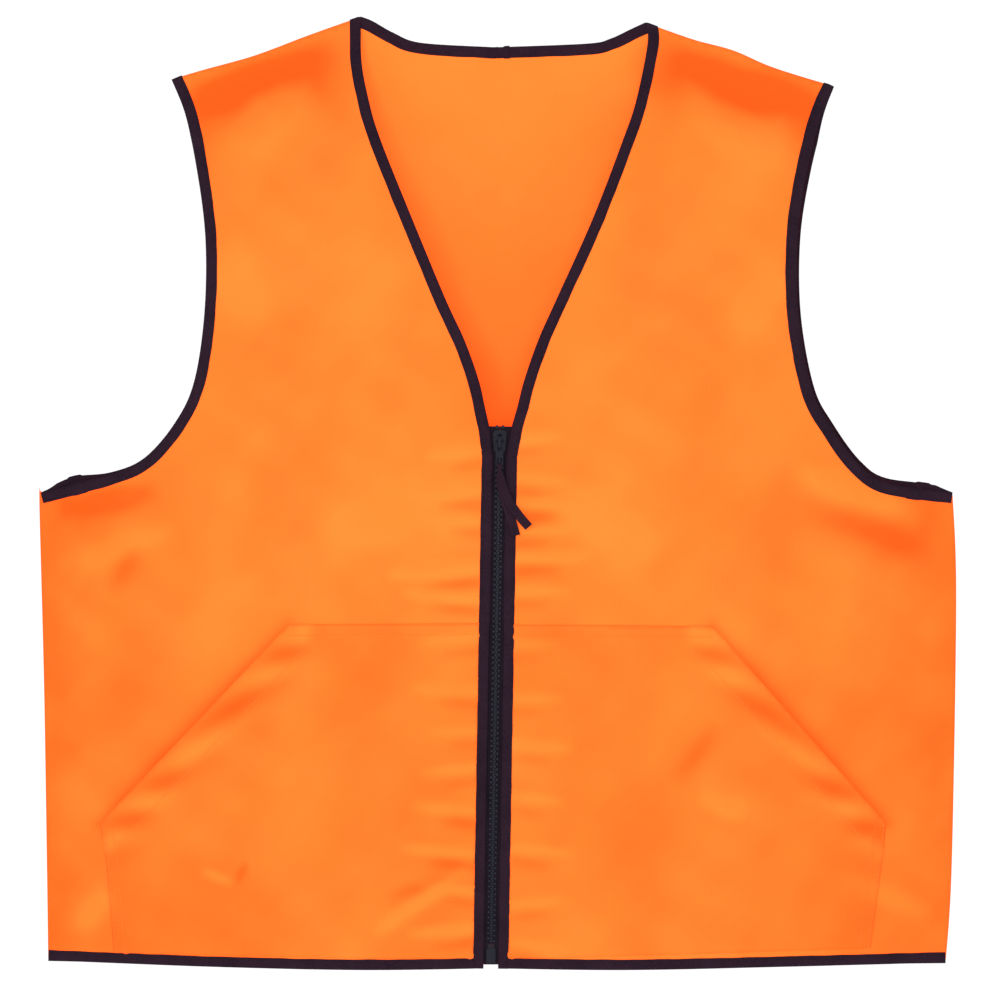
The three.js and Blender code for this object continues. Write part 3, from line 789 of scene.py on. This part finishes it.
def pocket_height(name):
    lines = pocket_lines(name)
    below = front_height(name)

    def height(x, z):
        points = np.stack([x, z], axis=1)
        share = np.ones(len(points))
        for key in ("top", "side", "hem", "zip"):
            share *= ramp(distance_to(points, resample(lines[key], 8 * MM)), POCKET_RAMP)
        mouth, along = nearest(points, lines["mouth"])
        stands_off = POCKET_FULLNESS * share + 2.4 * MM * np.exp(-mouth / (16 * MM)) * np.sqrt(share)
        doubled = 0.5 * MM * (1 - ramp(mouth - FACING + 1 * MM, 2 * MM)) * np.sqrt(share)
        ripples = mouth_ripples(mouth, along)
        seams = seam_puckers(x, z, [lines["top"], lines["side"]], 5, 0.28 * MM, inset=ROW_GAP)
        return below(x, z) + 0.9 * CLOTH + stands_off + doubled + ripples + seams

    return height


def pocket(name):
    lines = pocket_lines(name)
    order = ("top", "mouth", "side", "hem", "zip")
    outline = joined(*(lines[key] for key in order), step=2.8 * MM)
    height = pocket_height(name)

    # Painted shade in the hollows of the mouth's ripples and painted light on their crests, over a slightly
    # deeper tone across the whole pocket.
    def ripple_shade(x, z):
        return 0.15 - 0.7 / MM * mouth_ripples(*nearest(np.stack([x, z], axis=1), lines["mouth"]))

    obj = cloth_panel("cloth_pocket_" + name, outline, -1, height, 2.8 * MM, ripple_shade)
    finish_piece(obj, ORANGE)
    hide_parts("pocket_" + name)
    return obj


# ---------- bindings ----------


def tape_noise(at, seed):
    """Small unevenness along a sewn tape, between about -1 and 1."""
    return (
        np.sin(at / (1.9 * MM) + seed)
        + np.sin(at / (3.1 * MM) + 2 * seed)
        + 0.8 * np.sin(at / (7.3 * MM) + 5 * seed)
    ) / 2.8


def binding(name, edge, towards, side, relief, seed, lap=None, thick_below=None):
    """A tape folded over an edge of the cloth, sewn down 1.6 mm from its inner border.

    lap is the arc length of a join, where the end of the tape is folded over its start."""
    at = arc_length(edge)
    normals = inward(edge, towards)
    rings = []
    for i, s in enumerate(at):
        wave = tape_noise(s, seed)
        width = BINDING_WIDTH / MM + 0.18 * tape_noise(s * 0.6, seed + 1)
        half = BINDING_HALF_THICK / MM * (1 + 0.1 * wave)
        start = -0.4
        if thick_below is not None and edge[i][1] < thick_below:
            half, start = 1.3 * half, 0.3
        if lap is not None and abs(s - lap) < 4.5 * MM:
            half, start, width = 1.45 * half, -1.1, width + 0.4
        upper = [
            (width, 0.2), (width - 0.1, 0.66 * half), (width - 0.8, 0.86 * half), (width - 1.6, 0.7 * half),
            (width - 2.4, 0.92 * half), (0.55 * width, half), (1.7, 0.94 * half), (0.7, 0.8 * half),
            (0.1, 0.5 * half), (start, 0.12),
        ]
        lower = [(a, -h) for a, h in reversed(upper)]
        rings.append(upper + lower)
    rings = np.array(rings) * MM
    flat = edge[:, None, :] + normals[:, None, :] * rings[:, :, :1]
    x, z = flat[..., 0].ravel(), flat[..., 1].ravel()
    z = np.minimum(z, shoulder_top(x))
    height = CLOTH_HEIGHT + relief(x, z) + rings[..., 1].ravel()
    y = skin_y(side, x, z, height)
    obj = new_mesh(name, np.stack([x, y, z], axis=1), tube_faces(len(edge), rings.shape[1]))
    recalculate_normals(obj)
    return obj


def shoulder_top(x):
    """Height of the shoulder seam, which trims the ends of the tapes. There is none across the neck."""
    top = np.full(len(x), 1.0)
    for name, half in HALVES.items():
        seam = EDGES[name]["shoulder"] * (half["sign"], 1)
        own = half["sign"] * x > seam[0, 0]
        top[own] = np.interp(half["sign"] * x[own], seam[:, 0], seam[:, 1]) + 0.6 * MM
    return top


def stitch_row(name, path, side, height_at, material, pitch=3.0 * MM, length=2.2 * MM, radius=0.22 * MM):
    """A row of stitches along a plane path on one skin, each a short thread that dips at both ends."""
    path = resample(path, pitch)
    middles = 0.5 * (path[1:] + path[:-1])
    directions = path[1:] - path[:-1]
    directions /= np.linalg.norm(directions, axis=1)[:, None]
    verts, faces = [], []
    for t in (-0.5, -0.3, 0.3, 0.5):
        flat = middles + directions * t * length
        x, z = flat[:, 0], flat[:, 1]
        sunk = -0.5 * radius if abs(t) == 0.5 else 0.35 * radius
        y = skin_y(side, x, z, height_at(x, z) + sunk)
        verts.append(np.stack([x, y, z], axis=1))
    rings = []
    sides = np.stack([-directions[:, 1], np.zeros(len(directions)), directions[:, 0]], axis=1)
    for k, centre in enumerate(verts):
        size = radius * (0.45 if k in (0, 3) else 1.0)
        for turn in range(6):
            angle = turn * math.pi / 3
            rings.append(centre + sides * size * math.cos(angle) + np.array([0, size * math.sin(angle), 0]))
    rings = np.stack(rings, axis=1)  # stitch, then 24 points
    for i in range(len(rings)):
        base = 24 * i
        for k in range(3):
            for turn in range(6):
                n = (turn + 1) % 6
                a, b = base + 6 * k, base + 6 * (k + 1)
                faces.append((a + turn, a + n, b + n, b + turn))
        faces.append(tuple(base + t for t in reversed(range(6))))
        faces.append(tuple(base + 18 + t for t in range(6)))
    obj = new_mesh(name, rings.reshape(-1, 3), faces)
    recalculate_normals(obj)
    return finish_piece(obj, material)


BINDING_SEAM = BINDING_WIDTH - 1.6 * MM


def bound_edge(name, edge, towards, side, seed, **kind):
    """A binding with its row of stitches: (tape, thread)."""
    relief = RELIEF[side]
    tape = binding(name, edge, towards, side, relief, seed, **kind)

    def on_tape(x, z):
        return CLOTH_HEIGHT + relief(x, z) + 0.72 * BINDING_HALF_THICK

    line = offset_line(edge, towards, BINDING_SEAM)
    line = line[line[:, 1] < shoulder_top(line[:, 0]) - 1 * MM]
    thread = stitch_row(name + "_thread", line, side, on_tape, DARK_THREAD)
    return tape, thread


NECK_LAP = 7  # points of the other half's edge that the lap covers


def neck_binding(name):
    half, e = HALVES[name], EDGES[name]
    inner = -half["sign"]
    front_line = np.vstack([e["zip"][:-1], e["v_neck"]])
    pocket_top = e["pocket"][0][1]
    front, thread_a = bound_edge(
        "edge_front_" + name, front_line, inner, -1, 1.0 + inner, thick_below=pocket_top
    )
    back_line, lap = e["back_neck"], None
    if name == "right":  # its end crosses the centre and is folded over the other half's
        back_line = np.vstack([back_line, EDGES["left"]["back_neck"][::-1][1:NECK_LAP]])
        lap = arc_length(back_line)[-1]
    back, thread_b = bound_edge("edge_back_neck_" + name, back_line, -inner, 1, 2.0 + inner, lap=lap)
    tape = merged("binding_neck_" + name, [front, back])
    finish_piece(tape, BINDING)
    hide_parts("neck_binding_" + name)
    return [tape, merged("thread_neck_" + name, [thread_a, thread_b])]


def armhole_binding(name):
    half, e = HALVES[name], EDGES[name]
    inner = -half["sign"]
    lap = arc_length(e["armhole"])[-1] - 26 * MM
    front, thread_a = bound_edge("edge_armhole_" + name, e["armhole"], inner, -1, 4.0 + inner, lap=lap)
    back, thread_b = bound_edge(
        "edge_armhole_back_" + name, e["back_armhole"], inner, 1, 6.0 + inner, lap=lap
    )
    tape = merged("binding_armhole_" + name, [front, back])
    finish_piece(tape, BINDING)
    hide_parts("armhole_binding_" + name)
    return [tape, merged("thread_armhole_" + name, [thread_a, thread_b])]


def hem_binding():
    tapes, threads = [], []
    for name, half in HALVES.items():
        line = EDGES[name]["hem"]
        away = distance_to(line, EDGES[name]["zip"])
        line = line[away > BINDING_WIDTH - 1.5 * MM]
        tape, thread = bound_edge(
            "edge_hem_" + name, line, -half["sign"], -1, 8.0 + half["sign"], thick_below=0
        )
        tapes.append(tape)
        threads.append(thread)
    tape, thread = bound_edge("edge_hem_back", back_hem(), 1, 1, 11.0)
    whole = merged("binding_hem", tapes + [tape])
    finish_piece(whole, BINDING)
    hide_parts("hem_binding")
    return [whole, merged("thread_hem", threads + [thread])]


def pocket_stitches(name):
    lines = pocket_lines(name)
    s = HALVES[name]["sign"]
    height = pocket_height(name)

    def on_top(x, z):
        return height(x, z) + 0.5 * CLOTH + 0.1 * MM

    rows = []
    for k, inset in enumerate((1.6 * MM, 1.6 * MM + ROW_GAP)):
        for key in ("top", "side"):
            line = offset_line(resample(lines[key], 2 * MM), -s, inset)
            rows.append(stitch_row(f"row_{key}_{k}_{name}", line, -1, on_top, ORANGE_THREAD))
    facing = offset_line(lines["mouth"], -s, FACING - 2 * MM)
    facing = facing[facing[:, 1] < lines["top"][1][1] - 8 * MM]
    rows.append(stitch_row("row_facing_" + name, facing, -1, on_top, ORANGE_THREAD))
    return merged("thread_pocket_" + name, rows)


# ---------- zip, in its own frame: origin at the slider's top end, chain along -Z, front face -Y ----------

ZIP_Y = -(SKIN_GAP + FRONT_DEPTH - 1.1 * MM)
TOOTH_PITCH, TOOTH_COUNT = 3.5 * MM, 98
TAPE_TOP, TAPE_BOTTOM = 2.4 * MM, -358 * MM
PULL_Y = -4.1 * MM
EYE_Z = -24.0 * MM


def in_zip_frame(points):
    """Points of the zip's own frame in the row frame."""
    p = np.asarray(points, float)
    c, s = math.cos(ZIP_TILT), math.sin(ZIP_TILT)
    x = ZIP_TOP.x + p[:, 0] * c + p[:, 2] * s
    z = ZIP_TOP.y - p[:, 0] * s + p[:, 2] * c
    return np.stack([x, ZIP_Y + p[:, 1], z], axis=1)


def layered(outline, layers):
    """Points and faces of a solid with one plane outline at several depths, given as (y, inset) pairs."""
    outline = np.asarray(outline, float)
    centre = outline.mean(0)
    count = len(outline)
    points, faces = [], []
    for y, inset in layers:
        reach = np.linalg.norm(outline - centre, axis=1)[:, None]
        ring = outline + (centre - outline) / reach * inset
        points += [(x, y, z) for x, z in ring]
    for layer in range(len(layers) - 1):
        for k in range(count):
            n = (k + 1) % count
            a, b = layer * count, (layer + 1) * count
            faces.append((a + k, a + n, b + n, b + k))
    faces.append(tuple(reversed(range(count))))
    faces.append(tuple((len(layers) - 1) * count + k for k in range(count)))
    return np.array(points), faces


# Right half of a tooth's outline in millimetres: base round the cord, neck, and the head that locks
TOOTH_SIDE = [(3.0, 0.95), (1.8, 1.0), (1.45, 0.46), (0.15, 0.42), (-0.15, 1.1), (-1.05, 1.18), (-1.3, 0.9)]


def chain_half(name, sign):
    """Moulded teeth on one tape edge."""
    whole = TOOTH_SIDE + [(x, -z) for x, z in reversed(TOOTH_SIDE)]
    outline = [(sign * x * MM, z * MM) for x, z in whole]
    layers = [(-1.25 * MM, 0.3 * MM), (-0.9 * MM, 0), (0.9 * MM, 0), (1.25 * MM, 0.3 * MM)]
    tooth, tooth_faces = layered(outline, layers)
    shift = TOOTH_PITCH / 2 if sign > 0 else 0
    verts, faces = [], []
    for n in range(TOOTH_COUNT):
        z = -2.7 * MM - shift - n * TOOTH_PITCH
        base = n * len(tooth)
        verts.append(in_zip_frame(tooth + np.array([0, 0, z])))
        faces += [tuple(base + k for k in face) for face in tooth_faces]
    obj = new_mesh("teeth_" + name, np.vstack(verts), faces, smooth=False)
    recalculate_normals(obj)
    finish_piece(obj, TEETH)
    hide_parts("zip_teeth_" + name)
    return obj


def zip_tape(name, sign):
    """The woven tape with the cord along its inner edge that the teeth are moulded round."""
    # Past its cord the tape runs on as a thin dark web to the middle of the chain: a dark sheet put where
    # there is only shade between the teeth.
    front = [(14.5, 0.3), (8.0, 0.32), (3.4, 0.3), (2.9, 0.62), (2.3, 0.72), (1.7, 0.4), (0.02, 0.25)]
    section = front + [(a, -h) for a, h in reversed(front)]
    heights = np.linspace(TAPE_TOP, TAPE_BOTTOM, 90)
    points = np.array([(sign * a * MM, -h * MM, z) for z in heights for a, h in section])
    faces = tube_faces(len(heights), len(section))
    obj = new_mesh("tape_" + name, in_zip_frame(points), faces, smooth=False)
    recalculate_normals(obj)
    finish_piece(obj, ZIP_TAPE)
    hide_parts("zip_tape_" + name)
    return obj


def dress_cad(node, material, edge):
    """Keeps a hard CAD piece, with softened edges and its own material."""
    obj = frame["nodes"][node]
    obj.data.materials.clear()
    obj.data.materials.append(material)
    soft = obj.modifiers.new("edges", "BEVEL")
    soft.width = edge
    soft.segments = 2
    soft.limit_method = "ANGLE"
    soft.angle_limit = math.radians(35)
    return obj


# ---------- ribbon through the pull's eye ----------

RIBBON_WIDTH, RIBBON_THROAT, RIBBON_THICK = 6 * MM, 3 * MM, 0.7 * MM
LOOP = 1.5

# Millimetres from the middle of the eye's lower bar, as in the CAD part
FRONT_ROUTE = [(0, LOOP * math.cos(k * math.pi / 4), LOOP * math.sin(k * math.pi / 4)) for k in range(5)] + [
    (0.3, -LOOP - 0.4, -4), (1.8, -LOOP - 1.3, -12), (6.5, -LOOP - 1.8, -23), (13.5, -LOOP - 2, -33),
    (20.5, -LOOP - 2.2, -41),
]
BACK_ROUTE = [
    (0, LOOP, -0.3), (0, LOOP - 0.3, -2.6), (0.3, -0.2, -5.5), (1.2, -1.3, -12), (4.6, -1.7, -24),
    (8.6, -1.9, -36), (12, -2, -47),
]


def route_points(route):
    """The strand's centreline in the row frame, evenly spaced."""
    local = np.array(route) * MM + np.array([0, PULL_Y, EYE_Z])
    return in_zip_frame(spline(local, step=0.8 * MM))


def ribbon(name, route, narrow, node, seed):
    """A folded tape, drawn together in the eye, open to its width below, creased down the middle."""
    path = route_points(route)
    at = arc_length(path)
    along = np.gradient(path, axis=0)
    along /= np.linalg.norm(along, axis=1)[:, None]
    across = np.stack([-along[:, 2], np.zeros(len(path)), along[:, 0]], axis=1)
    across[np.abs(along[:, 2]) < 0.05] = (1, 0, 0)
    across[across[:, 0] < 0] *= -1
    across /= np.linalg.norm(across, axis=1)[:, None]
    off = np.cross(along, across)
    section = [
        (-1, 0.3), (-0.93, 0.85), (-0.6, 1), (-0.2, 1.02), (-0.06, 0.72),
        (0.06, 0.72), (0.2, 1.02), (0.6, 1), (0.93, 0.85), (1, 0.3),
    ]
    section += [(a, -h) for a, h in reversed(section)]
    verts = []
    for i, s in enumerate(at):
        width = RIBBON_THROAT + (RIBBON_WIDTH - RIBBON_THROAT) * float(ramp(np.array(s - narrow), 6 * MM))
        curl = 0.35 * MM * math.sin(s / (11 * MM) + seed) * min(1, s / (10 * MM))
        for a, h in section:
            lift = curl * (a * a - 0.3)
            verts.append(path[i] + across[i] * a * width / 2 + off[i] * (h * RIBBON_THICK / 2 + lift))
    obj = new_mesh(name, verts, tube_faces(len(path), len(section)))
    recalculate_normals(obj)
    finish_piece(obj, BINDING, body="ribbon")
    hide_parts(node)
    return obj


# ---------- picture ----------


SENSOR = 36  # millimetres
VIEW_HEIGHT = 1001 * 0.675 * MM  # what the picture takes in, from top to bottom
VIEW_MIDDLE = Vector((-0.3 * MM, -20 * MM, -307.5 * MM))
CAMERA_DISTANCE = 6.0
LIGHT_TARGET = (0, 0, -0.3)


def add_camera():
    """A long lens level with the middle of the vest, as in the photograph."""
    data = bpy.data.cameras.new("camera")
    data.sensor_width = SENSOR
    data.lens = SENSOR * CAMERA_DISTANCE / VIEW_HEIGHT
    camera = bpy.data.objects.new("camera", data)
    camera.location = VIEW_MIDDLE + Vector((0, -CAMERA_DISTANCE, 0))
    camera.rotation_euler = (math.pi / 2, 0, 0)
    bpy.context.scene.collection.objects.link(camera)
    bpy.context.scene.camera = camera


def add_area(name, location, size, power):
    """A round soft light, turned towards the vest."""
    data = bpy.data.lights.new(name, "AREA")
    data.shape = "DISK"
    data.size = size
    data.energy = power
    light = bpy.data.objects.new(name, data)
    light.location = location
    towards = Vector(LIGHT_TARGET) - Vector(location)
    light.rotation_euler = towards.to_track_quat("-Z", "Y").to_euler()
    bpy.context.scene.collection.objects.link(light)


def add_stage():
    """A round pale floor under the vest."""
    floor, radius, count = -0.95, 1.6, 64
    turns = [2 * math.pi * k / count for k in range(count)]
    rim = [(radius * math.cos(turn), radius * math.sin(turn), floor) for turn in turns]
    stage = new_mesh("stage", rim, [tuple(range(count))])
    mat, tree, node = shader("pale_paper", roughness=0.9, specular=0.2)
    node.inputs["Base Color"].default_value = (0.8, 0.8, 0.8, 1)
    node.inputs["Emission Color"].default_value = (1, 1, 1, 1)
    node.inputs["Emission Strength"].default_value = 0.5
    stage.data.materials.append(mat)


def add_world():
    """White walls and ground, and a dimmer ceiling."""
    world = bpy.data.worlds.new("studio")
    world.use_nodes = True
    tree = world.node_tree
    height = add_node(tree, "ShaderNodeSeparateXYZ")
    tree.links.new(add_node(tree, "ShaderNodeTexCoord").outputs["Generated"], height.inputs[0])
    brightness = add_node(tree, "ShaderNodeMapRange")
    for socket, value in (("From Min", 0.2), ("From Max", 0.5), ("To Min", 1.05), ("To Max", 0.3)):
        brightness.inputs[socket].default_value = value
    tree.links.new(height.outputs["Z"], brightness.inputs["Value"])
    tree.links.new(brightness.outputs["Result"], tree.nodes["Background"].inputs["Strength"])
    tree.nodes["Background"].inputs["Color"].default_value = (1, 1, 1, 1)
    bpy.context.scene.world = world


def add_lights():
    add_area("front", (0.15, -4.0, -0.25), size=1.0, power=46)
    add_area("key", (-1.1, -3.6, 0.7), size=0.9, power=44)
    add_area("back", (1.6, 3.4, 0.6), size=1.2, power=50)
    bpy.context.scene.view_settings.view_transform = "Standard"


# ---------- assembly ----------


def build_garment():
    back = back_panel()
    fronts = {name: front_panel(name) for name in HALVES}
    pockets = {name: pocket(name) for name in HALVES}
    trims = {name: neck_binding(name) + armhole_binding(name) for name in HALVES}
    hem = hem_binding()
    threads = {name: pocket_stitches(name) for name in HALVES}


def build_zip():
    for name, half in HALVES.items():
        zip_tape(name, half["sign"])
        chain_half(name, half["sign"])
        dress_cad("zip_top_stop_" + name, TEETH, 0.2 * MM)
    for node in ("zip_retainer_box", "zip_box_pin", "zip_insertion_pin"):
        dress_cad(node, TEETH, 0.25 * MM)
    for node in ("slider_front_plate", "slider_back_plate", "slider_crown", "pull_tab"):
        dress_cad(node, ENAMEL, 0.25 * MM)
    ribbon("ribbon_front", FRONT_ROUTE, 8 * MM, "ribbon_front_strand", 0.5)
    ribbon("ribbon_back", BACK_ROUTE, 4 * MM, "ribbon_back_strand", 2.0)


add_camera()
build_zip()
build_garment()
add_stage()
add_world()
add_lights()
